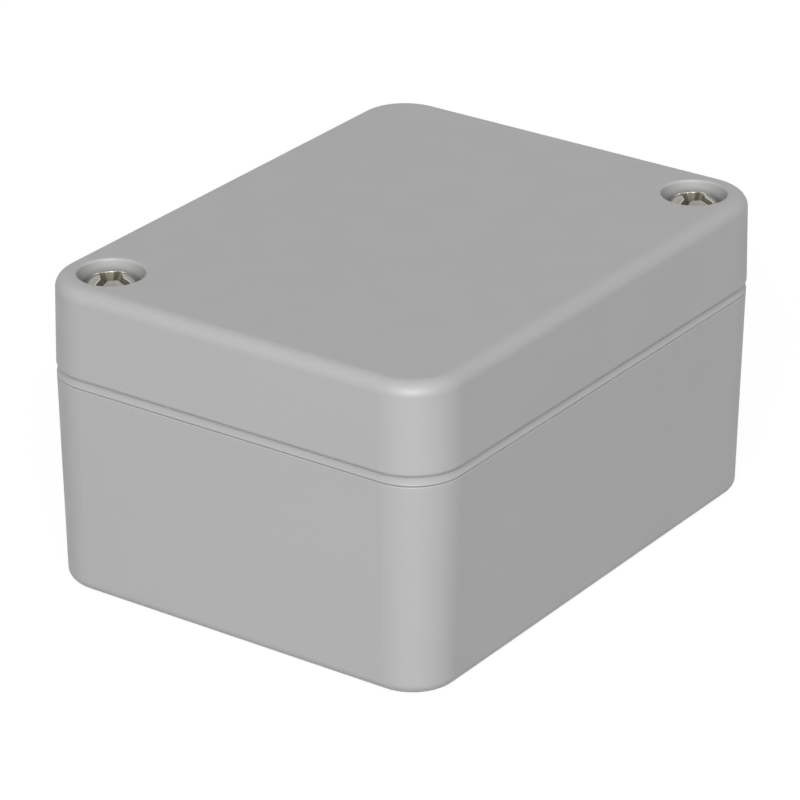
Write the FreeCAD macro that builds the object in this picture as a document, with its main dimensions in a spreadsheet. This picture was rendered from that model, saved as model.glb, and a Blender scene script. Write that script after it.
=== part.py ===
import FreeCAD, Part
import math
import os
import Sketcher

# A small sealed enclosure moulded in polycarbonate: a deep base, a shallow lid with a
# shadow groove above the parting line, and two captive lid screws on one diagonal.
# The origin is the centre of the underside, X runs along the long side and Z is up.

# Driving sizes in millimetres, degrees and counts. Each is written once, here.
SIZES = {
    # outside, measured at the lid's lower edge
    "box_length": 65.0,
    "box_width": 50.0,
    "box_height": 35.0,
    "base_height": 23.8,
    "corner_round": 6.0,
    "base_corner_round": 5.75,
    "base_step": 0.1,
    "lid_draft": 1.0,
    "base_draft": 1.25,
    "edge_round": 1.5,
    "bottom_round": 1.2,
    # parting line and shadow groove
    "parting_gap": 0.1,
    "lip_round": 0.15,
    "foot_height": 0.12,
    "shadow_height": 1.0,
    "shadow_slope": 45.0,
    "skirt_round": 0.42,
    # walls
    "wall": 2.6,
    "floor_thickness": 3.0,
    "top_thickness": 3.0,
    "inner_lip": 1.0,
    "cavity_round": 0.8,
    # corner axes and the pillars around them
    "axis_inset": 6.0,
    "pillar_round": 5.0,
    "bend_round": 2.2,
    # tongue, groove and gasket
    "tongue_width": 0.9,
    "tongue_rise": 1.6,
    "groove_play": 0.2,
    "gasket_height": 1.6,
    "gasket_fit": 0.05,
    # threaded inserts
    "insert_radius": 2.25,
    "insert_root": 2.05,
    "insert_length": 5.7,
    "insert_band": 1.9,
    "insert_fit": 0.02,
    "insert_chamfer": 0.3,
    "knurl_count": 18,
    "knurl_width": 0.5,
    "chip_depth": 3.0,
    # captive screws, metric three
    "thread_radius": 1.45,
    "thread_play": 0.05,
    "thread_engagement": 3.9,
    "tip_chamfer": 0.4,
    "neck_radius": 1.13,
    "head_radius": 3.0,
    "head_height": 2.4,
    "crown_radius": 5.0,
    "head_round": 0.8,
    "head_sink": 0.3,
    "recess_depth": 1.7,
    "recess_width": 0.9,
    "recess_reach": 2.3,
    "recess_foot": 1.15,
    "core_mouth": 1.2,
    "core_floor": 0.6,
    "core_depth": 2.0,
    # keeper rings on the screws' necks
    "ring_section": 1.0,
    "ring_fit": 0.03,
    "ring_lift": 1.1,
    "shoulder_play": 0.02,
    "back_out_play": 0.2,
    # holes in the lid
    "counterbore_radius": 3.6,
    "counterbore_draft": 5.0,
    "counterbore_round": 0.25,
    "screw_hole_radius": 1.7,
    "ring_play": 0.44,
    "ring_headroom": 0.1,
    "stop_width": 1.1,
    "core_radius": 2.8,
    # wall mounting holes in the base
    "mount_hole_radius": 2.15,
    "mount_well_radius": 3.5,
    "mount_land": 4.0,
    # bosses for a circuit board
    "board_length": 48.0,
    "board_width": 16.0,
    "boss_radius": 2.8,
    "boss_rise": 5.0,
    "pilot_radius": 1.25,
}

# Where things stand, as formulas over the sheet
HALF_LENGTH = "dims.box_length / 2"
HALF_WIDTH = "dims.box_width / 2"
AXIS_X = "(dims.box_length / 2 - dims.axis_inset)"
AXIS_Y = "(dims.box_width / 2 - dims.axis_inset)"
PARTING = "dims.base_height"
FOOT = "(dims.base_height + dims.parting_gap)"
LEDGE = "(dims.base_height + dims.parting_gap + dims.foot_height)"
SKIRT = "(dims.base_height + dims.shadow_height)"
TONGUE_TOP = "(dims.base_height + dims.tongue_rise)"
GROOVE_TOP = "(dims.base_height + dims.tongue_rise + dims.gasket_height)"
LID_CEILING = "(dims.box_height - dims.top_thickness)"
HEAD_SEAT = "(dims.box_height - dims.head_sink - dims.head_height)"
SCREW_TOP = "(dims.box_height - dims.head_sink)"
SCREW_TIP = "(dims.base_height - dims.thread_engagement)"
RING_CENTRE = "(dims.base_height + dims.ring_lift + dims.ring_section / 2)"
RING_ROOF = (
    "(dims.base_height + dims.ring_lift + dims.ring_section"
    " + dims.thread_engagement + dims.back_out_play + dims.ring_headroom)"
)
RING_POCKET = "(dims.neck_radius + dims.ring_fit + dims.ring_section + dims.ring_play)"
INSERT_BOTTOM = "(dims.base_height - dims.insert_length)"
BOSS_TOP = "(dims.floor_thickness + dims.boss_rise)"

BASE_HALF_LENGTH = "(dims.box_length / 2 - dims.base_step)"
BASE_HALF_WIDTH = "(dims.box_width / 2 - dims.base_step)"
BORE_RADIUS = "(dims.thread_radius + dims.thread_play)"
SHOULDER = "(dims.base_height + dims.ring_lift - dims.shoulder_play)"
HEAD_DROP = "(dims.crown_radius - sqrt(dims.crown_radius ^ 2 - dims.head_radius ^ 2))"
WING_DROP = "(dims.crown_radius - sqrt(dims.crown_radius ^ 2 - dims.recess_reach ^ 2))"
WING_MOUTH = (
    "dims.recess_foot + (dims.recess_reach - dims.recess_foot)"
    f" * dims.recess_depth / (dims.recess_depth - {WING_DROP})"
)

# How far each loop of the seal lies in from the base's outer face
TONGUE_INSET = "(dims.wall - dims.tongue_width)"
GROOVE_OUTER = "(dims.wall - dims.tongue_width - dims.groove_play)"
GROOVE_INNER = "(dims.wall + dims.groove_play)"
LIP_INNER = "(dims.wall + dims.groove_play + dims.inner_lip)"

# The signs of X and Y in each quarter, anticlockwise. Screws stand in the rear left and
# front right corners, wall mounting holes in the other two.
QUARTERS = [(1, 1), (-1, 1), (-1, -1), (1, -1)]
SCREW_CORNERS = {"rear_left": (-1, 1), "front_right": (1, -1)}
MOUNT_CORNERS = {"rear_right": (1, 1), "front_left": (-1, -1)}

UP = FreeCAD.Vector(0, 0, 1)
NEAR = 0.001

doc = FreeCAD.newDocument("enclosure")


def make_sheet():
    """The spreadsheet of driving sizes, one named cell each."""
    sheet = doc.addObject("Spreadsheet::Sheet", "dims")
    for row, (name, value) in enumerate(SIZES.items(), start=1):
        sheet.set(f"A{row}", name)
        sheet.set(f"B{row}", str(value))
        sheet.setAlias(f"B{row}", name)
    doc.recompute()


# Sketch and feature helpers


def value(formula):
    """The number that a formula over the sheet gives."""
    return float(doc.getObject("dims").evalExpression(formula))


def signed(sign, formula):
    """The formula, or its negative."""
    return formula if sign > 0 else "-" + formula


def make_body(name):
    """An empty body whose label is the name of its piece."""
    body = doc.addObject("PartDesign::Body", name)
    body.Label = name
    return body


def origin_feature(body, role):
    """One of the body's own origin planes or axes."""
    return next(item for item in body.Origin.OriginFeatures if item.Role == role)


def level_sketch(body, name, height):
    """A level sketch at a height over the underside."""
    sketch = body.newObject("Sketcher::SketchObject", name)
    sketch.AttachmentSupport = (origin_feature(body, "XY_Plane"), [""])
    sketch.MapMode = "FlatFace"
    sketch.setExpression("AttachmentOffset.Base.z", height)
    return sketch


def size(sketch, name, kind, place, formula):
    """A sized constraint that follows a formula over the sheet."""
    index = sketch.addConstraint(Sketcher.Constraint(kind, *place, value(formula)))
    sketch.renameConstraint(index, name)
    sketch.setExpression("Constraints." + name, formula)


def put_point(sketch, name, part, point, across, along):
    """Holds a point of the sketch at a place from the sketch's origin."""
    size(sketch, name + "_across", "DistanceX", (-1, 1, part, point), across)
    size(sketch, name + "_along", "DistanceY", (-1, 1, part, point), along)


def add_circle(sketch, name, across, along, radius):
    """A circle held by its centre and radius."""
    centre = FreeCAD.Vector(value(across), value(along), 0)
    index = sketch.addGeometry(Part.Circle(centre, UP, value(radius)))
    put_point(sketch, name, index, 3, across, along)
    size(sketch, name + "_radius", "Radius", (index,), radius)


def add_corner_circles(sketch, corners, radius):
    """One circle on the axis of each of the given corners."""
    for name, (sign_x, sign_y) in corners.items():
        add_circle(sketch, name, signed(sign_x, AXIS_X), signed(sign_y, AXIS_Y), radius)


def add_arc(sketch, centre, radius, start, end):
    """An anticlockwise arc, placed as the solver's first guess."""
    circle = Part.Circle(FreeCAD.Vector(centre[0], centre[1], 0), UP, radius)
    return sketch.addGeometry(Part.ArcOfCircle(circle, start, end))


def add_side(sketch, name, quarter, start, end, half_x, half_y):
    """A straight side of a loop, upright or level, held at its half length or width."""
    side = sketch.addGeometry(
        Part.LineSegment(FreeCAD.Vector(*start, 0), FreeCAD.Vector(*end, 0))
    )
    sign = 1 if quarter < 2 else -1
    if quarter % 2 == 0:
        sketch.addConstraint(Sketcher.Constraint("Vertical", side))
        size(sketch, name, "DistanceX", (-1, 1, side, 1), signed(sign, half_x))
    else:
        sketch.addConstraint(Sketcher.Constraint("Horizontal", side))
        size(sketch, name, "DistanceY", (-1, 1, side, 1), signed(sign, half_y))
    return side


def turned(point, quarter):
    """The point turned about the origin by quarter turns."""
    for _ in range(quarter):
        point = (-point[1], point[0])
    return point


def add_rounded_rectangle(sketch, half_x, half_y, radius):
    """A centred rectangle with round corners, built from four like quarters."""
    halves = [value(half_x), value(half_y)]
    bend = value(radius)
    corners = []
    sides = []
    for quarter in range(4):
        reach, rise = halves if quarter % 2 == 0 else halves[::-1]
        spin = quarter * math.pi / 2
        centre = turned((reach - bend, rise - bend), quarter)
        corners.append(add_arc(sketch, centre, bend, spin, spin + math.pi / 2))
        start = turned((reach, bend - rise), quarter)
        end = turned((reach, rise - bend), quarter)
        sides.append(add_side(sketch, f"side_{quarter}", quarter, start, end, half_x, half_y))
    for quarter, corner in enumerate(corners):
        following = sides[(quarter + 1) % len(sides)]
        sketch.addConstraint(Sketcher.Constraint("Tangent", sides[quarter], 2, corner, 1))
        sketch.addConstraint(Sketcher.Constraint("Tangent", corner, 2, following, 1))
        size(sketch, f"corner_{quarter}", "Radius", (corner,), radius)


def seal_corner(sketch, quarter, reach, rise, axis, swing, bend):
    """The three arcs that take a seal loop round the inside of one corner pillar.

    The loop bends in, swings round the pillar's axis the other way and bends out.
    Reach and rise are the loop's half lengths along this quarter's own axes.
    """
    apart = swing + bend
    first = (reach - bend, axis[1] - math.sqrt(apart**2 - (reach - bend - axis[0]) ** 2))
    last = (axis[0] - math.sqrt(apart**2 - (rise - bend - axis[1]) ** 2), rise - bend)
    to_first = math.atan2(first[1] - axis[1], first[0] - axis[0])
    to_last = math.atan2(last[1] - axis[1], last[0] - axis[0])
    spin = quarter * math.pi / 2
    turn = math.pi
    return {
        "start": turned((reach, first[1]), quarter),
        "end": turned((last[0], rise), quarter),
        "first": add_arc(sketch, turned(first, quarter), bend, spin, spin + to_first + turn),
        "swing": add_arc(
            sketch, turned(axis, quarter), swing, spin + to_last - 2 * turn, spin + to_first
        ),
        "last": add_arc(
            sketch, turned(last, quarter), bend, spin + to_last - turn, spin + turn / 2
        ),
    }


def add_seal_loop(sketch, name, inset):
    """A loop inside the four corner axes, a given distance in from the base's face."""
    half_x = f"({HALF_LENGTH} - dims.base_step - {inset})"
    half_y = f"({HALF_WIDTH} - dims.base_step - {inset})"
    swing = f"(dims.pillar_round - dims.wall + {inset})"
    bend = f"(dims.bend_round + dims.wall - {inset})"
    halves = [value(half_x), value(half_y)]
    axis = [value(AXIS_X), value(AXIS_Y)]
    corners = []
    for quarter in range(4):
        step = 1 if quarter % 2 == 0 else -1
        corners.append(
            seal_corner(sketch, quarter, *halves[::step], axis[::step], value(swing), value(bend))
        )
    for quarter, (sign_x, sign_y) in enumerate(QUARTERS):
        corner, before = corners[quarter], corners[quarter - 1]
        label = f"{name}_{quarter}"
        side = add_side(sketch, label, quarter, before["end"], corner["start"], half_x, half_y)
        joins = [
            (before["last"], 2, side, 1),
            (side, 2, corner["first"], 1),
            (corner["first"], 2, corner["swing"], 2),
            (corner["swing"], 1, corner["last"], 1),
        ]
        for join in joins:
            sketch.addConstraint(Sketcher.Constraint("Tangent", *join))
        across, along = signed(sign_x, AXIS_X), signed(sign_y, AXIS_Y)
        put_point(sketch, label, corner["swing"], 3, across, along)
        size(sketch, label + "_swing", "Radius", (corner["swing"],), swing)
        size(sketch, label + "_first", "Radius", (corner["first"],), bend)
        size(sketch, label + "_last", "Radius", (corner["last"],), bend)


def add_profile(sketch, corners, crown=False):
    """A closed outline through named corners, each held across and along.

    With crown, the stretch to the last corner, which lies on the axis, is an arc
    centred on the axis.
    """
    places = [FreeCAD.Vector(value(x), value(y), 0) for x, y in corners.values()]
    edges = []
    for index, place in enumerate(places):
        following = places[(index + 1) % len(places)]
        if crown and index == len(places) - 2:
            rise = following.y - place.y
            radius = (place.x**2 + rise**2) / (2 * rise)
            start = math.atan2(radius - rise, place.x)
            edges.append(add_arc(sketch, (0, following.y - radius), radius, start, math.pi / 2))
            sketch.addConstraint(Sketcher.Constraint("PointOnObject", edges[-1], 3, -2))
        else:
            edges.append(sketch.addGeometry(Part.LineSegment(place, following)))
    for index, name in enumerate(corners):
        following = edges[(index + 1) % len(edges)]
        sketch.addConstraint(Sketcher.Constraint("Coincident", edges[index], 2, following, 1))
        put_point(sketch, name, edges[index], 1, *corners[name])


def turn_profile(body, name, corners, crown=False):
    """Turns an outline of named corners about the body's upright axis."""
    sketch = body.newObject("Sketcher::SketchObject", name + "_profile")
    sketch.AttachmentSupport = (origin_feature(body, "XZ_Plane"), [""])
    sketch.MapMode = "FlatFace"
    add_profile(sketch, corners, crown)
    doc.recompute()
    turning = body.newObject("PartDesign::Revolution", name)
    turning.Profile = sketch
    turning.ReferenceAxis = (sketch, ["V_Axis"])
    turning.Angle = 360
    doc.recompute()


def grow(body, name, sketch, length, down=False, draft=None):
    """Adds the sketch's area to the body over a length, narrowing by the draft angle."""
    pad = body.newObject("PartDesign::Pad", name)
    pad.Profile = sketch
    pad.Reversed = down
    pad.setExpression("Length", length)
    if draft:
        pad.setExpression("TaperAngle", f"-{draft}")
    doc.recompute()


def cut_down(body, name, sketch, length, draft=None):
    """Cuts the sketch's area out of the body, downwards, narrowing by the draft angle."""
    before = body.Shape.Volume
    pocket = body.newObject("PartDesign::Pocket", name)
    pocket.Profile = sketch
    pocket.setExpression("Length", length)
    if draft:
        pocket.setExpression("TaperAngle", f"-{draft}")
    doc.recompute()
    if body.Shape.Volume >= before:
        raise RuntimeError(name + " cuts nothing")
    return pocket


def round_rim(body, name, height, reach, radius):
    """Rounds the level edges at a height that border walls going on to another height."""
    shape = body.Shape
    low, high = sorted((value(height), value(reach)))
    walls = [
        face
        for face in shape.Faces
        if face.BoundBox.ZMin < low + NEAR and face.BoundBox.ZMax > high - NEAR
    ]
    rim = []
    for index, edge in enumerate(shape.Edges, start=1):
        box = edge.BoundBox
        if max(abs(box.ZMin - value(height)), abs(box.ZMax - value(height))) > NEAR:
            continue
        if any(edge.isSame(side) for wall in walls for side in wall.Edges):
            rim.append(f"Edge{index}")
    base = body.Tip
    fillet = body.newObject("PartDesign::Fillet", name)
    fillet.Base = (base, rim)
    fillet.setExpression("Radius", radius)
    doc.recompute()


# The pieces


def make_base():
    """The deep base: walls, tongue, corner pillars, mounting holes and board bosses."""
    body = make_body("base_shell")
    outline = level_sketch(body, "base_outline", PARTING)
    add_rounded_rectangle(outline, BASE_HALF_LENGTH, BASE_HALF_WIDTH, "dims.base_corner_round")
    grow(body, "base_block", outline, "dims.base_height", down=True, draft="dims.base_draft")
    round_rim(body, "base_bottom_round", "0", PARTING, "dims.bottom_round")
    round_rim(body, "base_lip", PARTING, "dims.floor_thickness", "dims.lip_round")

    tongue = level_sketch(body, "tongue_outline", PARTING)
    add_seal_loop(tongue, "tongue", TONGUE_INSET)
    grow(body, "tongue_block", tongue, "dims.tongue_rise")
    cavity = level_sketch(body, "cavity_outline", TONGUE_TOP)
    add_seal_loop(cavity, "cavity", "dims.wall")
    cut_down(body, "cavity", cavity, f"{TONGUE_TOP} - dims.floor_thickness")
    round_rim(body, "cavity_floor_round", "dims.floor_thickness", TONGUE_TOP, "dims.cavity_round")

    sockets = level_sketch(body, "insert_sockets", PARTING)
    add_corner_circles(sockets, SCREW_CORNERS, "dims.insert_radius + dims.insert_fit")
    cut_down(body, "insert_sockets_cut", sockets, "dims.insert_length")
    chips = level_sketch(body, "chip_wells", PARTING)
    add_corner_circles(chips, SCREW_CORNERS, BORE_RADIUS)
    cut_down(body, "chip_wells_cut", chips, "dims.insert_length + dims.chip_depth")

    wells = level_sketch(body, "mount_wells", PARTING)
    add_corner_circles(wells, MOUNT_CORNERS, "dims.mount_well_radius")
    cut_down(body, "mount_wells_cut", wells, "dims.base_height - dims.mount_land")
    holes = level_sketch(body, "mount_holes", PARTING)
    add_corner_circles(holes, MOUNT_CORNERS, "dims.mount_hole_radius")
    cut_down(body, "mount_holes_cut", holes, "dims.base_height")

    bosses = level_sketch(body, "board_bosses", "dims.floor_thickness")
    pilots = level_sketch(body, "board_pilots", BOSS_TOP)
    for index, (sign_x, sign_y) in enumerate(QUARTERS):
        across = signed(sign_x, "dims.board_length / 2")
        along = signed(sign_y, "dims.board_width / 2")
        add_circle(bosses, f"boss_{index}", across, along, "dims.boss_radius")
        add_circle(pilots, f"pilot_{index}", across, along, "dims.pilot_radius")
    grow(body, "board_bosses_grown", bosses, "dims.boss_rise")
    cut_down(body, "board_pilots_cut", pilots, "dims.boss_rise")
    return body


def make_lid():
    """The lid: foot, sloping shadow groove, seal groove, counterbores and ring pockets."""
    body = make_body("lid_shell")
    foot = level_sketch(body, "foot_outline", FOOT)
    add_rounded_rectangle(foot, BASE_HALF_LENGTH, BASE_HALF_WIDTH, "dims.base_corner_round")
    grow(body, "foot", foot, "dims.foot_height")
    slope = level_sketch(body, "slope_outline", LEDGE)
    add_rounded_rectangle(slope, BASE_HALF_LENGTH, BASE_HALF_WIDTH, "dims.base_corner_round")
    grow(body, "slope", slope, f"{SKIRT} - {LEDGE}", draft="dims.shadow_slope")
    block = level_sketch(body, "lid_outline", SKIRT)
    add_rounded_rectangle(block, HALF_LENGTH, HALF_WIDTH, "dims.corner_round")
    grow(body, "lid_block", block, f"dims.box_height - {SKIRT}", draft="dims.lid_draft")
    round_rim(body, "lid_top_round", "dims.box_height", SKIRT, "dims.edge_round")
    round_rim(body, "skirt_round", SKIRT, LID_CEILING, "dims.skirt_round")

    stops = level_sketch(body, "stop_pads", PARTING)
    add_corner_circles(stops, SCREW_CORNERS, f"{RING_POCKET} + dims.stop_width")
    grow(body, "stop_pads_grown", stops, "dims.parting_gap")
    groove = level_sketch(body, "groove_outline", GROOVE_TOP)
    add_seal_loop(groove, "outer", GROOVE_OUTER)
    add_seal_loop(groove, "inner", GROOVE_INNER)
    cut_down(body, "groove", groove, f"{GROOVE_TOP} - {PARTING}")
    hollow = level_sketch(body, "hollow_outline", LID_CEILING)
    add_seal_loop(hollow, "hollow", LIP_INNER)
    cut_down(body, "hollow", hollow, f"{LID_CEILING} - {PARTING}")

    counterbores = level_sketch(body, "counterbores", "dims.box_height")
    add_corner_circles(counterbores, SCREW_CORNERS, "dims.counterbore_radius")
    cut_down(
        body,
        "counterbores_cut",
        counterbores,
        f"dims.box_height - {HEAD_SEAT}",
        "dims.counterbore_draft",
    )
    round_rim(
        body, "counterbore_rims", "dims.box_height", HEAD_SEAT, "dims.counterbore_round"
    )
    holes = level_sketch(body, "screw_holes", HEAD_SEAT)
    add_corner_circles(holes, SCREW_CORNERS, "dims.screw_hole_radius")
    cut_down(body, "screw_holes_cut", holes, f"{HEAD_SEAT} - {PARTING}")
    pockets = level_sketch(body, "ring_pockets", RING_ROOF)
    add_corner_circles(pockets, SCREW_CORNERS, RING_POCKET)
    cut_down(body, "ring_pockets_cut", pockets, f"{RING_ROOF} - {PARTING}")
    cores = level_sketch(body, "corner_cores", LID_CEILING)
    add_corner_circles(cores, MOUNT_CORNERS, "dims.core_radius")
    cut_down(body, "corner_cores_cut", cores, f"{LID_CEILING} - {PARTING}")
    return body


def make_gasket():
    """The closed loop of rubber that fills the head of the lid's groove."""
    body = make_body("lid_gasket")
    section = level_sketch(body, "gasket_outline", TONGUE_TOP)
    add_seal_loop(section, "outer", f"({GROOVE_OUTER} + dims.gasket_fit)")
    add_seal_loop(section, "inner", f"({GROOVE_INNER} - dims.gasket_fit)")
    grow(body, "gasket", section, "dims.gasket_height")
    return body


def stand(piece, corner, height="0", back_x="0", back_y="0"):
    """Stands a piece on the axis of a screw corner, or set back from it."""
    sign_x, sign_y = SCREW_CORNERS[corner]
    piece.setExpression("Placement.Base.x", f"{signed(sign_x, AXIS_X)} - {back_x}")
    piece.setExpression("Placement.Base.y", f"{signed(sign_y, AXIS_Y)} - {back_y}")
    piece.setExpression("Placement.Base.z", height)


def make_insert(corner):
    """A brass insert with two knurled bands, flush with the pillar's top."""
    body = make_body("screw_insert_" + corner)
    low_band = f"({INSERT_BOTTOM} + dims.insert_band)"
    high_band = f"({PARTING} - dims.insert_band)"
    corners = {
        "inner_bottom": (BORE_RADIUS, INSERT_BOTTOM),
        "outer_bottom": ("dims.insert_root", INSERT_BOTTOM),
        "lead": ("dims.insert_radius", f"{INSERT_BOTTOM} + dims.insert_chamfer"),
        "low_band": ("dims.insert_radius", low_band),
        "low_root": ("dims.insert_root", low_band),
        "high_root": ("dims.insert_root", high_band),
        "high_band": ("dims.insert_radius", high_band),
        "outer_top": ("dims.insert_radius", PARTING),
        "inner_top": (BORE_RADIUS, PARTING),
    }
    turn_profile(body, "turned_" + corner, corners)
    notch = level_sketch(body, "notch_outline_" + corner, PARTING)
    rim = "dims.insert_radius + dims.insert_fit"
    corners = {
        "root": ("dims.insert_root", "0"),
        "right": (rim, "dims.knurl_width / 2"),
        "left": (rim, "-dims.knurl_width / 2"),
    }
    add_profile(notch, corners)
    cut = cut_down(body, "notch_" + corner, notch, "dims.insert_length")
    knurl = body.newObject("PartDesign::PolarPattern", "knurl_" + corner)
    knurl.Originals = [cut]
    knurl.Axis = (origin_feature(body, "Z_Axis"), [""])
    knurl.setExpression("Occurrences", "dims.knurl_count")
    body.Tip = knurl
    stand(body, corner)
    doc.recompute()
    return body


def make_screw(corner):
    """A captive screw: domed head with a cross recess, thin neck, threaded end."""
    blank = make_body("screw_blank_" + corner)
    corners = {
        "tip": ("0", SCREW_TIP),
        "tip_edge": ("dims.thread_radius - dims.tip_chamfer", SCREW_TIP),
        "thread_start": ("dims.thread_radius", f"{SCREW_TIP} + dims.tip_chamfer"),
        "shoulder": ("dims.thread_radius", SHOULDER),
        "neck_foot": ("dims.neck_radius", SHOULDER),
        "neck_top": ("dims.neck_radius", HEAD_SEAT),
        "head_seat": ("dims.head_radius", HEAD_SEAT),
        "head_edge": ("dims.head_radius", f"{SCREW_TOP} - {HEAD_DROP}"),
        "apex": ("0", SCREW_TOP),
    }
    turn_profile(blank, "screw_" + corner, corners, crown=True)
    edge = f"{SCREW_TOP} - {HEAD_DROP}"
    round_rim(blank, "head_round_" + corner, edge, HEAD_SEAT, "dims.head_round")
    stand(blank, corner)

    # The wings' outer ends lie on a cone that meets the crown at their full reach
    wing_cone = add_piece("Part::Cone", "wing_cone_" + corner)
    wing_cone.setExpression("Radius1", "dims.recess_foot")
    wing_cone.setExpression("Radius2", WING_MOUTH)
    wing_cone.setExpression("Height", "dims.recess_depth")
    stand(wing_cone, corner, f"{SCREW_TOP} - dims.recess_depth")
    half_arm, half_width = "dims.head_radius", "dims.recess_width / 2"
    bars = []
    for name, half_x, half_y in (
        ("along", half_arm, half_width),
        ("across", half_width, half_arm),
    ):
        bar = add_piece("Part::Box", f"bar_{name}_{corner}")
        bar.setExpression("Length", f"2 * {half_x}")
        bar.setExpression("Width", f"2 * {half_y}")
        bar.setExpression("Height", "dims.recess_depth")
        stand(bar, corner, f"{SCREW_TOP} - dims.recess_depth", half_x, half_y)
        bars.append(bar)
    cross = add_piece("Part::MultiFuse", "cross_" + corner)
    cross.Shapes = bars
    wings = add_piece("Part::Common", "wings_" + corner)
    wings.Base = wing_cone
    wings.Tool = cross
    core = add_piece("Part::Cone", "recess_core_" + corner)
    core.setExpression("Radius1", "dims.core_floor")
    core.setExpression("Radius2", "dims.core_mouth")
    core.setExpression("Height", "dims.core_depth")
    stand(core, corner, f"{SCREW_TOP} - dims.core_depth")
    recess = add_piece("Part::MultiFuse", "recess_" + corner)
    recess.Shapes = [wings, core]
    screw = add_piece("Part::Cut", "lid_screw_" + corner)
    screw.Base = blank
    screw.Tool = recess
    doc.recompute()
    return screw


def add_piece(kind, name):
    """A solid of the document under its own name."""
    piece = doc.addObject(kind, name)
    piece.Label = name
    return piece


def make_ring(corner):
    """The rubber ring on the screw's neck that keeps the screw in the lid."""
    ring = add_piece("Part::Torus", "screw_ring_" + corner)
    ring.setExpression("Radius1", "dims.neck_radius + dims.ring_fit + dims.ring_section / 2")
    ring.setExpression("Radius2", "dims.ring_section / 2")
    stand(ring, corner, RING_CENTRE)
    doc.recompute()
    return ring


def write_pieces(pieces):
    """Checks the whole document, then writes each piece to a file of its own."""
    doc.recompute()
    for item in doc.Objects:
        if {"Invalid", "Error"} & set(item.State):
            raise RuntimeError(item.Label + " is in state " + ", ".join(item.State))
    for piece in pieces:
        shape = piece.Shape
        if shape.isNull() or not shape.isValid() or len(shape.Solids) != 1:
            raise RuntimeError(piece.Label + " is not one valid solid")
    os.makedirs("parts", exist_ok=True)
    for piece in pieces:
        piece.Shape.exportStep(f"parts/{piece.Label}.step")
        box = piece.Shape.BoundBox
        corners = (box.XMin, box.YMin, box.ZMin, box.XMax, box.YMax, box.ZMax)
        print(piece.Label, [round(edge, 2) for edge in corners], round(piece.Shape.Volume, 1))


make_sheet()
pieces = [make_base(), make_lid(), make_gasket()]
for corner in SCREW_CORNERS:
    pieces += [make_insert(corner), make_screw(corner), make_ring(corner)]
write_pieces(pieces)
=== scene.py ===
import math

import bmesh
import bpy
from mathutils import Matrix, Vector


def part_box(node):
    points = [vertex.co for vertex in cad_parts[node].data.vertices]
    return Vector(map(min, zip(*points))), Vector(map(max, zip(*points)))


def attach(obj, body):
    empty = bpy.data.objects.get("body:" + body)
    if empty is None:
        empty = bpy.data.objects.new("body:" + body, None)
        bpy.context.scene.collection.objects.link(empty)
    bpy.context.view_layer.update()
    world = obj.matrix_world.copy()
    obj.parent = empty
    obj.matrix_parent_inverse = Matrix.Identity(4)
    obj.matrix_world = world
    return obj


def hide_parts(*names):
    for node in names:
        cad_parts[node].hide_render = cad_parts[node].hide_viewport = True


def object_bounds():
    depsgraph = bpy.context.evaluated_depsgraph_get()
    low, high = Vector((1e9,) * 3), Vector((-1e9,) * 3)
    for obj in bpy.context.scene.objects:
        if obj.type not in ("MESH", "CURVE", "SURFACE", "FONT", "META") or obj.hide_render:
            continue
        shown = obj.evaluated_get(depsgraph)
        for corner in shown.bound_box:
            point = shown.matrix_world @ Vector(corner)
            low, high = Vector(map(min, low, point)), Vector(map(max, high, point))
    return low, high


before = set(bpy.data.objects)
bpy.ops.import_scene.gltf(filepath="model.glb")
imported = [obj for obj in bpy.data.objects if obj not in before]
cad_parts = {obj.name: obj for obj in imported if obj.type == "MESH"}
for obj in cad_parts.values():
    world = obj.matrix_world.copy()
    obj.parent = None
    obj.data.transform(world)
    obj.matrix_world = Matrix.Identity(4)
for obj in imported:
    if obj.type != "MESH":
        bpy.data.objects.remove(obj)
CAD_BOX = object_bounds()

# Lengths below are in millimetres and become metres where a mesh or a lamp is made
MM = 0.001

# Camera: where the photograph was taken from, solved from the box's outline
CAMERA_AZIMUTH = -54.952
CAMERA_ELEVATION = 25.052
CAMERA_DISTANCE = 478.863
CAMERA_LENS = 202.33
CAMERA_SENSOR = 36.0
CAMERA_ASIDE = -0.905
CAMERA_RAISED = -8.843
CLIP_NEAR = 10.0
CLIP_FAR = 20000.0
SIGHT_HEIGHT = 25.1

# Studio: one large soft lamp at the left front, an even pale surrounding and a pale floor
LAMP_DIRECTION = (-0.783, -0.506, 0.362)
LAMP_DISTANCE = 1500.0
LAMP_SIZE = 1400.0
LAMP_POWER = 26.4
SURROUND_LIGHT = 0.36
BACKGROUND_WHITE = 1.0
FLOOR_SIZE = 6000.0
FLOOR_DROP = 0.05
FLOOR_BOUNCE = 0.06
FLOOR_COLOR = 0.17
FLOOR_GLOW = 0.90
FLOOR_ROUGHNESS = 0.9
WHITE = (1.0, 1.0, 1.0, 1.0)

# The corners that hold a lid screw, as they are named in the frame
SCREW_CORNERS = ("rear_left", "front_right")

# Screw heads: domed, with a cross recess whose arms lie along X and Y
HEAD_SINK = 0.3
CROWN_RADIUS = 5.0
HEAD_RADIUS = 3.0
HEAD_HEIGHT = 2.4
HEAD_ROUND = 0.8
SEAT_CHAMFER = 0.12
ARM_HALF_WIDTH = 0.47
ARM_REACH = 2.3
ARM_END_BULGE = 0.14
END_STEPS = 6
SIDE_STEPS = 7
CORE_STEPS = 10
EASING_PASSES = 2
CORE_RADIUS = 1.2
FLOOR_ARM_HALF_WIDTH = 0.33
FLOOR_ARM_REACH = 1.2
FLOOR_CORE_RADIUS = 0.66
RECESS_DEPTH = 1.7
CORE_DEPTH = 2.05
RECESS_BEVEL = 0.09
FLOOR_SHARES = (0.25, 0.5, 0.75, 1.0)
WALL_STEPS = 8
BEVEL_STEPS = 4
CROWN_STEPS = 8
ROUND_STEPS = 8

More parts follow.
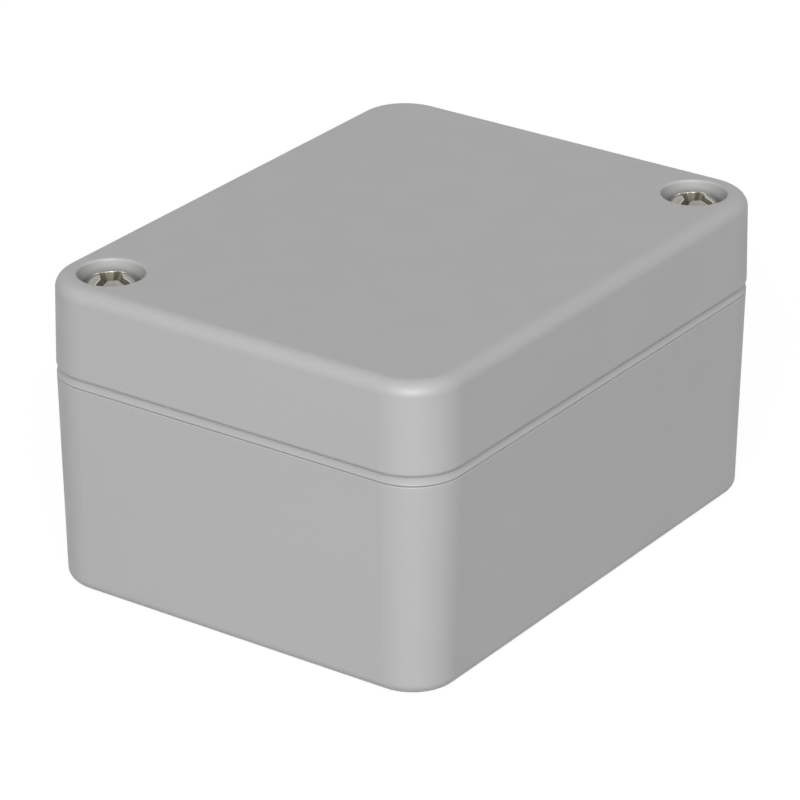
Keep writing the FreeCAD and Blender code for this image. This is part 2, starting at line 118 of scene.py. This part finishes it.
# Shanks: a thin neck that holds the keeper ring, a collar and a metric three thread
NECK_RADIUS = 1.13
SHOULDER_PLAY = 0.02
COLLAR_LENGTH = 0.45
THREAD_PITCH = 0.5
THREAD_CREST = 1.42
THREAD_ROOT = 1.14
THREAD_CLEARANCE = 0.05
TIP_CHAMFER = 0.4
CREST_SHARE = 0.14
ROOT_SHARE = 0.26
ROWS_PER_PITCH = 20
SLEEVE_RADIUS = 1.49
SLEEVE_WALL = 0.005
SLEEVE_LEAD = 0.3
SLEEVE_COLUMNS = 104
CREASE_ANGLE = 40.0


# Meshes


def finish_mesh(name, shape):
    """A smooth object from a bmesh that was built in millimetres."""
    bmesh.ops.recalc_face_normals(shape, faces=shape.faces)
    bmesh.ops.scale(shape, vec=(MM, MM, MM), verts=shape.verts)
    mesh = bpy.data.meshes.new(name)
    shape.to_mesh(mesh)
    shape.free()
    mesh.shade_smooth()
    piece = bpy.data.objects.new(name, mesh)
    bpy.context.scene.collection.objects.link(piece)
    return piece


def axis_of(node):
    """The middle of a node's box, in metres."""
    low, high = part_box(node)
    return (low + high) / 2


def join_rings(shape, low, high):
    """Quads between two closed rings of as many points."""
    for index, corner in enumerate(low):
        following = (index + 1) % len(low)
        shape.faces.new((corner, low[following], high[following], high[index]))


def close_ring(shape, ring, centre):
    """A fan of triangles from a ring to one point."""
    hub = shape.verts.new(centre)
    for index, corner in enumerate(ring):
        shape.faces.new((corner, ring[(index + 1) % len(ring)], hub))


def mark_sharp(piece):
    """Keeps the creases of a smooth mesh crisp."""
    piece.data.set_sharp_from_angle(angle=math.radians(CREASE_ANGLE))


# Screws and threads


def cross_outline(half_width, reach, core):
    """Points round a cross: four arms with bulging ends and a round core between them."""
    corner_reach = reach - ARM_END_BULGE
    arm_angle = math.asin(half_width / corner_reach)
    core_angle = math.asin(half_width / core)
    along = corner_reach * math.cos(arm_angle)
    inner = core * math.cos(core_angle)
    points = []
    for arm in range(4):
        spin = arm * math.pi / 2
        for step in range(END_STEPS):
            share = 2 * step / END_STEPS - 1
            points.append((reach - ARM_END_BULGE * share**2, spin + arm_angle * share))
        for step in range(SIDE_STEPS):
            run = along + (inner - along) * step / SIDE_STEPS
            points.append((math.hypot(run, half_width), spin + math.atan2(half_width, run)))
        for step in range(CORE_STEPS):
            angle = core_angle + (math.pi / 2 - 2 * core_angle) * step / CORE_STEPS
            points.append((core, spin + angle))
        for step in range(SIDE_STEPS):
            run = inner + (along - inner) * step / SIDE_STEPS
            angle = math.pi / 2 - math.atan2(half_width, run)
            points.append((math.hypot(run, half_width), spin + angle))
    return [Vector((radius * math.cos(turn), radius * math.sin(turn))) for radius, turn in points]


def softened(points):
    """The same closed outline with its corners eased."""
    count = len(points)
    for _ in range(EASING_PASSES):
        points = [
            (points[index - 1] + 2 * points[index] + points[(index + 1) % count]) / 4
            for index in range(count)
        ]
    return points


def outward(points):
    """The direction out of a closed anticlockwise outline at each of its points."""
    normals = []
    for index in range(len(points)):
        along = points[(index + 1) % len(points)] - points[index - 1]
        normals.append(Vector((along.y, -along.x)).normalized())
    return normals


def crown_drop(radius):
    """How far the domed head lies below its apex at a radius."""
    return CROWN_RADIUS - math.sqrt(CROWN_RADIUS**2 - radius**2)


def thread_depth(turn, height):
    """Share of a right-hand thread's height at an angle and a height, from 0 to 1."""
    phase = (height / THREAD_PITCH - turn / (2 * math.pi)) % 1.0
    away = min(phase, 1 - phase) * 2
    share = (1 - ROOT_SHARE - away) / (1 - ROOT_SHARE - CREST_SHARE)
    return max(0.0, min(1.0, share))


def thread_radius(turn, height):
    """Radius of the screws' thread where it is fully formed."""
    return THREAD_ROOT + (THREAD_CREST - THREAD_ROOT) * thread_depth(turn, height)


def head_rings(apex):
    """Rings of points over a screw's head, from the recess's floor to the upright side.

    Also the directions of their points, and which rings lie in the recess and on its brink.
    """
    mouth = softened(cross_outline(ARM_HALF_WIDTH, ARM_REACH, CORE_RADIUS))
    floor = softened(cross_outline(FLOOR_ARM_HALF_WIDTH, FLOOR_ARM_REACH, FLOOR_CORE_RADIUS))
    normals = outward(mouth)
    rings = []
    for share in FLOOR_SHARES:
        depth = CORE_DEPTH + (RECESS_DEPTH - CORE_DEPTH) * share
        rings.append([(point.x * share, point.y * share, apex - depth) for point in floor])
    for step in range(1, WALL_STEPS):
        share = step / WALL_STEPS
        ring = []
        for low, high in zip(floor, mouth):
            point = low.lerp(high, share)
            top = apex - crown_drop(high.length) - RECESS_BEVEL
            bottom = apex - RECESS_DEPTH
            ring.append((point.x, point.y, bottom + (top - bottom) * share))
        rings.append(ring)
    hollow_count = len(rings) + 1
    for step in range(BEVEL_STEPS + 1):
        lean = math.pi / 2 * step / BEVEL_STEPS
        ring = []
        for point, normal in zip(mouth, normals):
            spot = point + normal * RECESS_BEVEL * (1 - math.cos(lean))
            height = apex - crown_drop(spot.length) - RECESS_BEVEL * (1 - math.sin(lean))
            ring.append((spot.x, spot.y, height))
        rings.append(ring)
    brink_end = len(rings) - 1
    edge = [point + normal * RECESS_BEVEL for point, normal in zip(mouth, normals)]

    # The dome's own rounded edge, tangent to the crown and to the upright side
    round_centre = HEAD_RADIUS - HEAD_ROUND
    round_height = math.sqrt((CROWN_RADIUS - HEAD_ROUND) ** 2 - round_centre**2)
    crown_reach = round_centre * CROWN_RADIUS / (CROWN_RADIUS - HEAD_ROUND)
    start = math.atan2(round_height, round_centre)
    for step in range(1, CROWN_STEPS + 1):
        ring = []
        for point in edge:
            reach = point.length + (crown_reach - point.length) * step / CROWN_STEPS
            spot = point.normalized() * reach
            ring.append((spot.x, spot.y, apex - crown_drop(reach)))
        rings.append(ring)
    for step in range(1, ROUND_STEPS + 1):
        lean = start * (1 - step / ROUND_STEPS)
        reach = round_centre + HEAD_ROUND * math.cos(lean)
        height = apex - CROWN_RADIUS + round_height + HEAD_ROUND * math.sin(lean)
        rings.append([(*(point.normalized() * reach), height) for point in edge])
    directions = [point.normalized() for point in edge]
    return rings, directions, range(hollow_count), range(hollow_count, brink_end)


def build_screw(corner):
    """A captive screw: domed head with its recess, neck, collar, thread and tip."""
    node = "lid_screw_" + corner
    low, high = (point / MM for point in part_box(node))
    axis = (low + high) / 2
    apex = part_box("lid_shell")[1].z / MM - HEAD_SINK
    tip = low.z
    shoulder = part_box("screw_ring_" + corner)[0].z / MM - SHOULDER_PLAY
    seat = apex - HEAD_HEIGHT

    shape = bmesh.new()
    hollow = shape.verts.layers.float.new("hollow")
    brink = shape.verts.layers.float.new("brink")
    rings, directions, hollow_rings, brink_rings = head_rings(apex)
    turned = [
        (HEAD_RADIUS, seat + SEAT_CHAMFER),
        (HEAD_RADIUS - SEAT_CHAMFER, seat),
        (NECK_RADIUS + SEAT_CHAMFER, seat),
        (NECK_RADIUS, seat - SEAT_CHAMFER),
        (NECK_RADIUS, shoulder),
        (THREAD_CREST - SEAT_CHAMFER, shoulder),
        (THREAD_CREST, shoulder - SEAT_CHAMFER),
        (THREAD_CREST, shoulder - COLLAR_LENGTH),
    ]
    for reach, height in turned:
        rings.append([(*(way * reach), height) for way in directions])
    thread_top = shoulder - COLLAR_LENGTH
    rows = round((thread_top - tip) / THREAD_PITCH * ROWS_PER_PITCH)
    for row in range(1, rows + 1):
        height = thread_top + (tip - thread_top) * row / rows
        run_out = min(1.0, (thread_top - height) / THREAD_PITCH)
        limit = THREAD_CREST - max(0.0, tip + TIP_CHAMFER - height)
        ring = []
        for way in directions:
            radius = thread_radius(math.atan2(way.y, way.x), height)
            radius = THREAD_CREST + (radius - THREAD_CREST) * run_out
            ring.append((*(way * min(radius, limit)), height))
        rings.append(ring)

    made = [
        [shape.verts.new((axis.x + x, axis.y + y, z)) for x, y, z in ring] for ring in rings
    ]
    for inner, outer in zip(made, made[1:]):
        join_rings(shape, inner, outer)
    close_ring(shape, made[0], (axis.x, axis.y, apex - CORE_DEPTH))
    for layer, indexes in ((hollow, hollow_rings), (brink, brink_rings)):
        for index in indexes:
            for point in made[index]:
                point[layer] = 1.0
    close_ring(shape, made[-1], (axis.x, axis.y, tip))
    piece = finish_mesh("screw_" + corner, shape)
    mark_sharp(piece)
    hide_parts(node)
    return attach(piece, corner + "_screw")


def build_insert_thread(corner):
    """The thread cut in a brass insert, as a thin sleeve that lines its bore."""
    low, high = (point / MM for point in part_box("screw_insert_" + corner))
    axis = (low + high) / 2
    rows = round((high.z - low.z) / THREAD_PITCH * ROWS_PER_PITCH)
    turns = [2 * math.pi * column / SLEEVE_COLUMNS for column in range(SLEEVE_COLUMNS)]
    shape = bmesh.new()
    rings = []
    for row in range(rows + 1):
        height = low.z + (high.z - low.z) * row / rows
        lead = SLEEVE_RADIUS - min(height - low.z, high.z - height)
        lead = lead if lead > SLEEVE_RADIUS - SLEEVE_LEAD else 0.0
        ring = []
        for turn in turns:
            radius = max(thread_radius(turn, height) + THREAD_CLEARANCE, lead)
            ring.append((min(radius, SLEEVE_RADIUS), turn, height))
        rings.append(ring)
    for height in (high.z, low.z):
        rings.append([(SLEEVE_RADIUS + SLEEVE_WALL, turn, height) for turn in turns])
    made = [
        [
            shape.verts.new(
                (axis.x + radius * math.cos(turn), axis.y + radius * math.sin(turn), height)
            )
            for radius, turn, height in ring
        ]
        for ring in rings
    ]
    for inner, outer in zip(made, made[1:] + made[:1]):
        join_rings(shape, inner, outer)
    piece = finish_mesh("insert_thread_" + corner, shape)
    mark_sharp(piece)
    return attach(piece, "base")


# Materials: noise is sized in features for each millimetre, bumps and edges in millimetres

NOISE_LOW = 0.3
NOISE_HIGH = 0.7
STAIN_LOW = 0.35
STAIN_HIGH = 0.75
SHARP_TURN = 0.80
SLIGHT_TURN = 0.99
EDGE_SAMPLES = 6


class Nodes:
    """A material's node tree, with short ways to add and join nodes."""

    def __init__(self, name):
        self.material = bpy.data.materials.new(name)
        self.material.use_nodes = True
        self.tree = self.material.node_tree
        self.tree.nodes.clear()
        self.output = self.add("ShaderNodeOutputMaterial")

    def add(self, kind, **settings):
        """A new node with its properties set."""
        node = self.tree.nodes.new(kind)
        for key, setting in settings.items():
            setattr(node, key, setting)
        return node

    def fill(self, socket, source):
        """Links another node's output to an input, or sets its value."""
        if isinstance(source, bpy.types.NodeSocket):
            self.tree.links.new(source, socket)
        else:
            socket.default_value = source

    def feed(self, node, **sockets):
        """Fills a node's inputs, named with underscores for spaces, and returns it."""
        for key, source in sockets.items():
            self.fill(node.inputs[key.replace("_", " ")], source)
        return node

    def noise(self, place, scale, detail=3.0):
        """Grey noise of about one feature in every 1 / scale millimetres."""
        node = self.feed(
            self.add("ShaderNodeTexNoise"), Vector=place, Scale=scale / MM, Detail=detail
        )
        return node.outputs["Fac"]

    def spread(self, source, low, high, start=0.0, end=1.0):
        """The source mapped from start and end to low and high."""
        node = self.feed(
            self.add("ShaderNodeMapRange"),
            Value=source,
            From_Min=start,
            From_Max=end,
            To_Min=low,
            To_Max=high,
        )
        return node.outputs["Result"]

    def vary(self, noise, low, high):
        """Noise mapped from its usual span to low and high."""
        return self.spread(noise, low, high, NOISE_LOW, NOISE_HIGH)

    def patches(self, noise):
        """Soft patches of 0 and 1 from noise."""
        return self.spread(noise, 0.0, 1.0, STAIN_LOW, STAIN_HIGH)

    def blend(self, share, first, second):
        """A colour between two others."""
        node = self.add("ShaderNodeMix", data_type="RGBA")
        colors = [socket for socket in node.inputs if socket.type == "RGBA"]
        for socket, source in zip((node.inputs[0], *colors), (share, first, second)):
            self.fill(socket, source)
        return next(socket for socket in node.outputs if socket.type == "RGBA")

    def math(self, operation, first, second):
        """One arithmetic step."""
        node = self.add("ShaderNodeMath", operation=operation)
        self.fill(node.inputs[0], first)
        self.fill(node.inputs[1], second)
        return node.outputs[0]

    def attribute(self, name):
        """A share from 0 to 1 that is kept at a mesh's points."""
        return self.add("ShaderNodeAttribute", attribute_name=name).outputs["Fac"]

    def place(self, centre=(0.0, 0.0, 0.0)):
        """Coordinates that stay with the piece, counted from a point in the frame."""
        node = self.add("ShaderNodeTexCoord")
        shift = self.feed(self.add("ShaderNodeMapping"), Vector=node.outputs["Object"])
        shift.inputs["Location"].default_value = [-part for part in centre]
        return shift.outputs["Vector"]

    def turning_marks(self, place, scale, distortion, detail):
        """Fine rings round the upright axis, as a lathe leaves them."""
        marks = self.add("ShaderNodeTexWave", wave_type="RINGS", rings_direction="Z")
        self.feed(marks, Vector=place, Scale=scale / MM, Distortion=distortion, Detail=detail)
        return marks.outputs["Fac"]

    def edges(self, radius):
        """The rounded normal at edges, and a mask that is 1 on sharp edges."""
        bevel = self.add("ShaderNodeBevel", samples=EDGE_SAMPLES)
        bevel.inputs["Radius"].default_value = radius * MM
        face = self.add("ShaderNodeNewGeometry")
        turn = self.add("ShaderNodeVectorMath", operation="DOT_PRODUCT")
        self.tree.links.new(bevel.outputs["Normal"], turn.inputs[0])
        self.tree.links.new(face.outputs["Normal"], turn.inputs[1])
        mask = self.spread(turn.outputs["Value"], 1.0, 0.0, SHARP_TURN, SLIGHT_TURN)
        return bevel.outputs["Normal"], mask

    def bump(self, height, depth, normal):
        """A bump over a normal, whose full height is the given depth in millimetres."""
        node = self.add("ShaderNodeBump")
        return self.feed(
            node, Height=height, Distance=depth * MM, Normal=normal
        ).outputs["Normal"]

    def surface(self, **sockets):
        """The one Principled shader, joined to the output."""
        shader = self.feed(self.add("ShaderNodeBsdfPrincipled"), **sockets)
        self.tree.links.new(shader.outputs["BSDF"], self.output.inputs["Surface"])
        return self.material


def grey(level, warmth=0.0):
    """A grey with a little warmth."""
    return (level * (1 + warmth), level, level * (1 - warmth), 1.0)


# Moulded polycarbonate
SHELL_CLOUDS = 0.07
SHELL_GREYS = (grey(0.408, 0.002), grey(0.428, 0.006))
SHELL_SPECKS = 3.0
SPECK_LOW = 0.62
SPECK_HIGH = 0.80
SPECK_SHARE = 0.05
SPECK_GREY = grey(0.33, 0.01)
SHELL_EDGE = 0.12
SHELL_EDGE_WEAR_AND_SHEEN_GREY = grey(0.52)
SHELL_EDGE_WEAR_AND_SHEEN_SHARE = 0.10
SHELL_EDGE_POLISH = 0.06
SHELL_GRAIN = 5.0
SHELL_GRAIN_HEIGHT = 0.0016
SHELL_ROUGHNESS = (0.38, 0.48)
SHELL_DRIFT = 0.25
SHELL_DRIFT_ROUGHNESS = (-0.03, 0.03)
SHELL_IOR = 1.58


def shell_material():
    """Light grey moulded polycarbonate: even colour, satin grain, edges a little polished and
    painted a little lighter, partly wear and partly a painted sheen.
    """
    nodes = Nodes("moulded_shell")
    place = nodes.place()
    edge_normal, edge = nodes.edges(SHELL_EDGE)
    color = nodes.blend(nodes.noise(place, SHELL_CLOUDS, detail=2.0), *SHELL_GREYS)
    specks = nodes.noise(place, SHELL_SPECKS, detail=2.0)
    speck = nodes.spread(specks, 0.0, SPECK_SHARE, SPECK_LOW, SPECK_HIGH)
    color = nodes.blend(speck, color, SPECK_GREY)
    # Edges are painted a little lighter: partly wear, partly a painted sheen
    color = nodes.blend(nodes.math("MULTIPLY", edge, SHELL_EDGE_WEAR_AND_SHEEN_SHARE), color, SHELL_EDGE_WEAR_AND_SHEEN_GREY)
    grain = nodes.noise(place, SHELL_GRAIN, detail=2.0)
    rough = nodes.vary(grain, *SHELL_ROUGHNESS)
    rough = nodes.math("SUBTRACT", rough, nodes.math("MULTIPLY", edge, SHELL_EDGE_POLISH))
    drift = nodes.noise(place, SHELL_DRIFT, detail=1.0)
    rough = nodes.math("ADD", rough, nodes.vary(drift, *SHELL_DRIFT_ROUGHNESS))
    normal = nodes.bump(grain, SHELL_GRAIN_HEIGHT, edge_normal)
    return nodes.surface(Base_Color=color, Roughness=rough, Normal=normal, IOR=SHELL_IOR)


# Black rubber: the gasket's is a little greyer and coarser than the rings'
GASKET_GREY = 0.022
GASKET_GRAIN = 0.3
RING_GREY = 0.014
RING_GRAIN = 0.2
RUBBER_EDGE = 0.08
RUBBER_BLOOM = 0.5
BLOOM_LOW = 0.4
BLOOM_HIGH = 0.75
BLOOM_GAIN = 2.0
RUBBER_ROUGHNESS = (0.68, 0.88)
RUBBER_GRAIN_HEIGHT = 0.01
RUBBER_IOR = 1.52


def rubber_material(name, level, grain_size):
    """Soft black rubber with a dusty, uneven bloom."""
    nodes = Nodes(name)
    place = nodes.place()
    edge_normal = nodes.edges(RUBBER_EDGE)[0]
    bloom = nodes.noise(place, RUBBER_BLOOM, detail=4.0)
    bloom = nodes.spread(bloom, 0.0, 1.0, BLOOM_LOW, BLOOM_HIGH)
    color = nodes.blend(bloom, grey(level, warmth=0.01), grey(level * BLOOM_GAIN, warmth=0.02))
    grain = nodes.noise(place, 1 / grain_size)
    rough = nodes.vary(grain, *RUBBER_ROUGHNESS)
    normal = nodes.bump(grain, RUBBER_GRAIN_HEIGHT, edge_normal)
    return nodes.surface(Base_Color=color, Roughness=rough, Normal=normal, IOR=RUBBER_IOR)


# Brass of the inserts
BRASS_EDGE = 0.05
BRASS_TARNISH = 1.2
BRASS_CLEAN = (0.72, 0.53, 0.24, 1.0)
BRASS_DULL = (0.50, 0.35, 0.15, 1.0)
BRASS_BRIGHT = (0.86, 0.68, 0.38, 1.0)
BRASS_EDGE_SHARE = 0.5
BRASS_MARKS = 2.2
BRASS_MARK_HEIGHT = 0.0012
BRASS_ROUGHNESS = (0.24, 0.42)


def brass_material(name, centre):
    """Turned brass: fine rings round the insert's axis and a thin tarnish."""
    nodes = Nodes(name)
    place = nodes.place(centre)
    edge_normal, edge = nodes.edges(BRASS_EDGE)
    tarnish = nodes.noise(place, BRASS_TARNISH, detail=4.0)
    color = nodes.blend(nodes.patches(tarnish), BRASS_CLEAN, BRASS_DULL)
    color = nodes.blend(nodes.math("MULTIPLY", edge, BRASS_EDGE_SHARE), color, BRASS_BRIGHT)
    marks = nodes.turning_marks(place, BRASS_MARKS, distortion=0.6, detail=1.0)
    rough = nodes.vary(tarnish, *BRASS_ROUGHNESS)
    normal = nodes.bump(marks, BRASS_MARK_HEIGHT, edge_normal)
    return nodes.surface(Base_Color=color, Metallic=1.0, Roughness=rough, Normal=normal)


# Steel of the screws: the recess is painted darker as painted shade, partly a duller finish, and
# is rougher and less metallic; its brink and sharp edges are painted bright as a painted
# highlight, partly rubbed wear
STEEL_EDGE = 0.04
STEEL_STAIN = 0.9
STEEL_CLEAN = (0.34, 0.335, 0.30, 1.0)
STEEL_DULL = (0.27, 0.262, 0.23, 1.0)
STEEL_RECESS_SHADE = (0.18, 0.165, 0.125, 1.0)
STEEL_WEAR_AND_HIGHLIGHT = (0.82, 0.81, 0.77, 1.0)
EDGE_HIGHLIGHT_SHARE = 0.8
BRINK_HIGHLIGHT_SHARE = 0.75
STEEL_MARKS = 2.6
STEEL_MARK_HEIGHT = 0.0004
STEEL_SCRATCHES = 6.0
STEEL_ROUGHNESS = (0.20, 0.30)
RECESS_ROUGHER = 0.30
RECESS_COATED = 0.85


def steel_material(name, centre):
    """Bright, slightly warm steel with fine turning marks and a few handling scratches. The
    recess is painted darker as painted shade, and the brink and sharp edges are painted bright as
    a painted highlight.
    """
    nodes = Nodes(name)
    place = nodes.place(centre)
    edge_normal, edge = nodes.edges(STEEL_EDGE)
    stain = nodes.patches(nodes.noise(place, STEEL_STAIN, detail=4.0))
    hollow = nodes.attribute("hollow")
    color = nodes.blend(stain, STEEL_CLEAN, STEEL_DULL)
    # The recess is painted darker: painted shade, partly a duller finish
    color = nodes.blend(hollow, color, STEEL_RECESS_SHADE)
    edge = nodes.math("MULTIPLY", edge, nodes.math("SUBTRACT", 1.0, hollow))
    brink = nodes.math("MULTIPLY", nodes.attribute("brink"), BRINK_HIGHLIGHT_SHARE)
    edge = nodes.math("MAXIMUM", edge, brink)
    # Sharp edges and the recess's brink are painted bright: a painted highlight, partly rubbed
    # wear
    color = nodes.blend(nodes.math("MULTIPLY", edge, EDGE_HIGHLIGHT_SHARE), color, STEEL_WEAR_AND_HIGHLIGHT)
    marks = nodes.turning_marks(place, STEEL_MARKS, distortion=1.2, detail=2.0)
    rough = nodes.vary(nodes.noise(place, STEEL_SCRATCHES, detail=2.0), *STEEL_ROUGHNESS)
    rough = nodes.math("ADD", rough, nodes.math("MULTIPLY", hollow, RECESS_ROUGHER))
    metal = nodes.math("SUBTRACT", 1.0, nodes.math("MULTIPLY", hollow, RECESS_COATED))
    normal = nodes.bump(marks, STEEL_MARK_HEIGHT, edge_normal)
    return nodes.surface(Base_Color=color, Metallic=metal, Roughness=rough, Normal=normal)


def cover(piece, material):
    """Gives the whole piece one material."""
    piece.data.materials.clear()
    piece.data.materials.append(material)


# Stage


def camera_axes():
    """The camera's right, up and backward directions."""
    turn, tilt = math.radians(CAMERA_AZIMUTH), math.radians(CAMERA_ELEVATION)
    back = Vector(
        (math.sin(turn) * math.cos(tilt), -math.cos(turn) * math.cos(tilt), math.sin(tilt))
    )
    right = Vector((math.cos(turn), math.sin(turn), 0.0))
    return right, back.cross(right), back


def make_camera():
    """A long lens at the photograph's viewing angle."""
    right, up, back = camera_axes()
    data = bpy.data.cameras.new("camera")
    data.lens = CAMERA_LENS
    data.sensor_width = CAMERA_SENSOR
    data.clip_start = CLIP_NEAR * MM
    data.clip_end = CLIP_FAR * MM
    camera = bpy.data.objects.new("camera", data)
    bpy.context.scene.collection.objects.link(camera)
    place = Vector((0.0, 0.0, SIGHT_HEIGHT)) + back * CAMERA_DISTANCE
    place += right * CAMERA_ASIDE + up * CAMERA_RAISED
    camera.location = place * MM
    camera.rotation_mode = "QUATERNION"
    camera.rotation_quaternion = back.to_track_quat("Z", "Y")
    bpy.context.scene.camera = camera


def make_lamp():
    """The soft lamp, facing the middle of the box."""
    low, high = CAD_BOX
    middle = (low + high) / 2
    way = Vector(LAMP_DIRECTION).normalized()
    data = bpy.data.lights.new("soft_lamp", "AREA")
    data.shape = "DISK"
    data.size = LAMP_SIZE * MM
    data.energy = LAMP_POWER
    lamp = bpy.data.objects.new("soft_lamp", data)
    bpy.context.scene.collection.objects.link(lamp)
    lamp.location = middle + way * LAMP_DISTANCE * MM
    lamp.rotation_mode = "QUATERNION"
    lamp.rotation_quaternion = way.to_track_quat("Z", "Y")


def seen_directly(tree):
    """1 for rays that show the background: from the camera, a mirror or through glass."""
    path = tree.nodes.new("ShaderNodeLightPath")
    total = path.outputs["Is Camera Ray"]
    for kind in ("Is Glossy Ray", "Is Transmission Ray"):
        step = tree.nodes.new("ShaderNodeMath")
        step.operation = "MAXIMUM"
        tree.links.new(total, step.inputs[0])
        tree.links.new(path.outputs[kind], step.inputs[1])
        total = step.outputs[0]
    return total


def scaled_share(tree, share, low, high):
    """A value between low and high by the share."""
    spread = tree.nodes.new("ShaderNodeMapRange")
    spread.inputs["To Min"].default_value = low
    spread.inputs["To Max"].default_value = high
    tree.links.new(share, spread.inputs["Value"])
    return spread.outputs["Result"]


def make_surround():
    """An even world: soft light on the box, white where it is seen."""
    world = bpy.data.worlds.new("surround")
    world.use_nodes = True
    tree = world.node_tree
    light = tree.nodes["Background"]
    light.inputs["Color"].default_value = WHITE
    strength = scaled_share(tree, seen_directly(tree), SURROUND_LIGHT, BACKGROUND_WHITE)
    tree.links.new(strength, light.inputs["Strength"])
    bpy.context.scene.world = world


def make_floor():
    """A wide pale floor that looks white and keeps a faint shadow."""
    shape = bmesh.new()
    bmesh.ops.create_grid(shape, size=FLOOR_SIZE / 2)
    bmesh.ops.translate(shape, vec=(0.0, 0.0, -FLOOR_DROP), verts=shape.verts)
    floor = finish_mesh("floor", shape)
    material = bpy.data.materials.new("pale_floor")
    material.use_nodes = True
    tree = material.node_tree
    paint = tree.nodes["Principled BSDF"]
    color = scaled_share(tree, seen_directly(tree), FLOOR_BOUNCE, FLOOR_COLOR)
    tree.links.new(color, paint.inputs["Base Color"])
    paint.inputs["Roughness"].default_value = FLOOR_ROUGHNESS
    paint.inputs["Specular IOR Level"].default_value = 0.0
    paint.inputs["Emission Color"].default_value = WHITE
    glow = scaled_share(tree, seen_directly(tree), 0.0, FLOOR_GLOW)
    tree.links.new(glow, paint.inputs["Emission Strength"])
    cover(floor, material)


make_camera()
make_lamp()
make_surround()
make_floor()

shell = shell_material()
cover(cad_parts["base_shell"], shell)
cover(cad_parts["lid_shell"], shell)
gasket_rubber = rubber_material("gasket_rubber", GASKET_GREY, GASKET_GRAIN)
cover(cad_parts["lid_gasket"], gasket_rubber)
ring_rubber = rubber_material("ring_rubber", RING_GREY, RING_GRAIN)
for corner in SCREW_CORNERS:
    centre = axis_of("screw_insert_" + corner)
    brass = brass_material("brass_" + corner, centre)
    cover(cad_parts["screw_insert_" + corner], brass)
    cover(build_insert_thread(corner), brass)
    cover(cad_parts["screw_ring_" + corner], ring_rubber)
    cover(build_screw(corner), steel_material("steel_" + corner, centre))

scene = bpy.context.scene
scene.view_settings.view_transform = "Standard"
